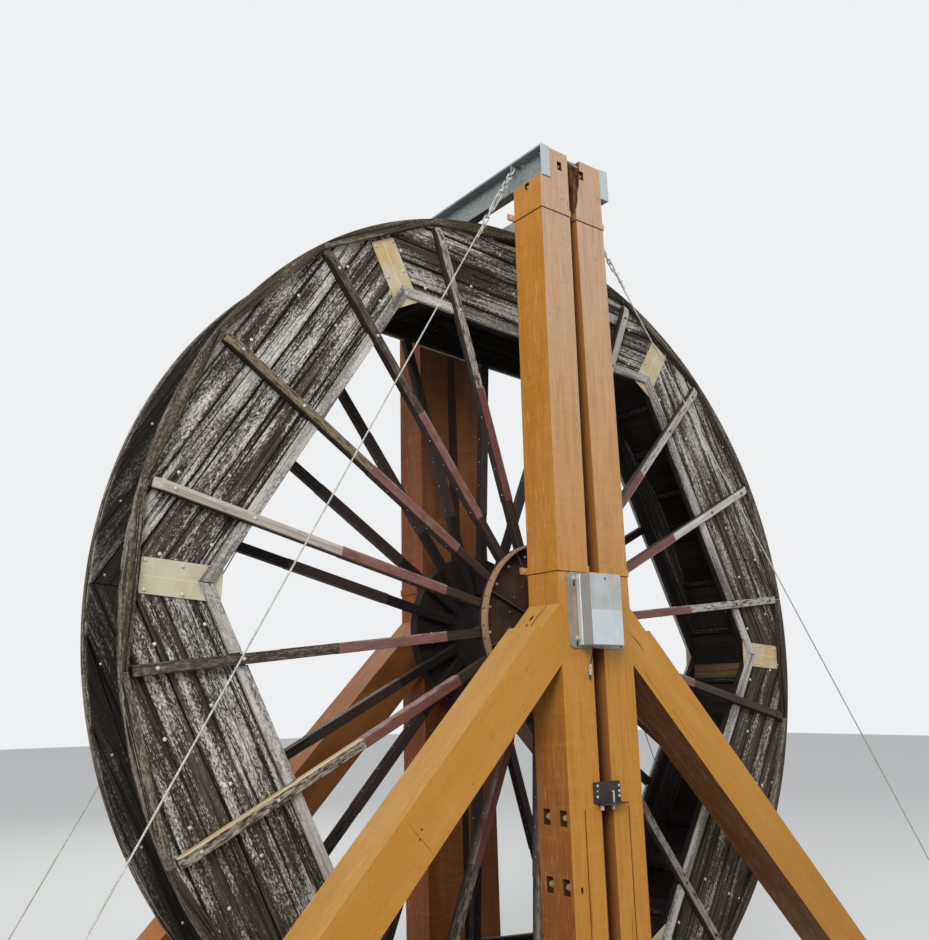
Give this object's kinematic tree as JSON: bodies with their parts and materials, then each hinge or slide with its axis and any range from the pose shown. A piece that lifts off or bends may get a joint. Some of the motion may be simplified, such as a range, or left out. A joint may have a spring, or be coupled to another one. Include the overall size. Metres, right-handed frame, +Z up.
{
  "type": "water wheel",
  "caption": "Timber water wheel with slanted bucket boards and radial spokes, turning on an axle between two paired timber frames with raking braces, steel top channels and stay cables.",
  "frame": {"origin": "on the floor, straight below the middle of the axle", "axes": "+X to the right as seen from the front, +Y from the front towards the back along the axle, +Z up; the front is -Y, where the control box is"},
  "size_m": [8.96, 2.56, 6.595],
  "materials": {
    "ochre_timber": "oiled, weathered",
    "rust_brown_timber": "oiled, weathered",
    "weathered_wood": "peeling paint on bare boards",
    "brown_wood": "weathered",
    "pale_painted_wood": "worn paint",
    "cream_painted_steel": "chipped paint",
    "rusty_iron": "rusty",
    "tan_painted_steel": "matt",
    "galvanised_steel": "galvanised, dull",
    "grey_painted_steel": "satin",
    "black_steel": "satin"
  },
  "bodies": {
    "frame": {"front_post_left": "ochre_timber", "front_post_right": "ochre_timber", "back_post_left": "rust_brown_timber", "back_post_right": "rust_brown_timber", "front_brace_left": "ochre_timber", "front_brace_right": "ochre_timber", "back_brace_left": "rust_brown_timber", "back_brace_right": "rust_brown_timber", "front_packer": "ochre_timber", "back_packer": "rust_brown_timber", "front_straps": "tan_painted_steel", "back_straps": "tan_painted_steel", "top_channel_left": "galvanised_steel", "top_channel_right": "galvanised_steel", "stay_cleats": "galvanised_steel", "front_stay_left": "galvanised_steel", "front_stay_right": "galvanised_steel", "back_stay_left": "galvanised_steel", "back_stay_right": "galvanised_steel", "turnbuckles": "galvanised_steel", "stay_feet": "galvanised_steel", "front_bearing": "rusty_iron", "back_bearing": "rusty_iron", "box_back_plate": "grey_painted_steel", "control_box": "grey_painted_steel", "latch_plate": "black_steel"},
    "wheel": {"axle": "galvanised_steel", "front_hub": "rusty_iron", "back_hub": "rusty_iron", "front_spokes": "pale_painted_wood", "back_spokes": "pale_painted_wood", "front_ring": "weathered_wood", "back_ring": "weathered_wood", "front_rim_strips": "brown_wood", "back_rim_strips": "brown_wood", "front_trim": "pale_painted_wood", "back_trim": "pale_painted_wood", "front_corner_plates": "cream_painted_steel", "back_corner_plates": "cream_painted_steel", "sole_boards": "weathered_wood", "bucket_risers": "weathered_wood", "bucket_fronts": "weathered_wood"}
  },
  "joints": [
    {"name": "wheel_spin", "type": "hinge", "parent": "frame", "child": "wheel", "pos_m": [0, 0, 3.2], "axis": [0, 1, 0], "continuous": true}
  ]
}
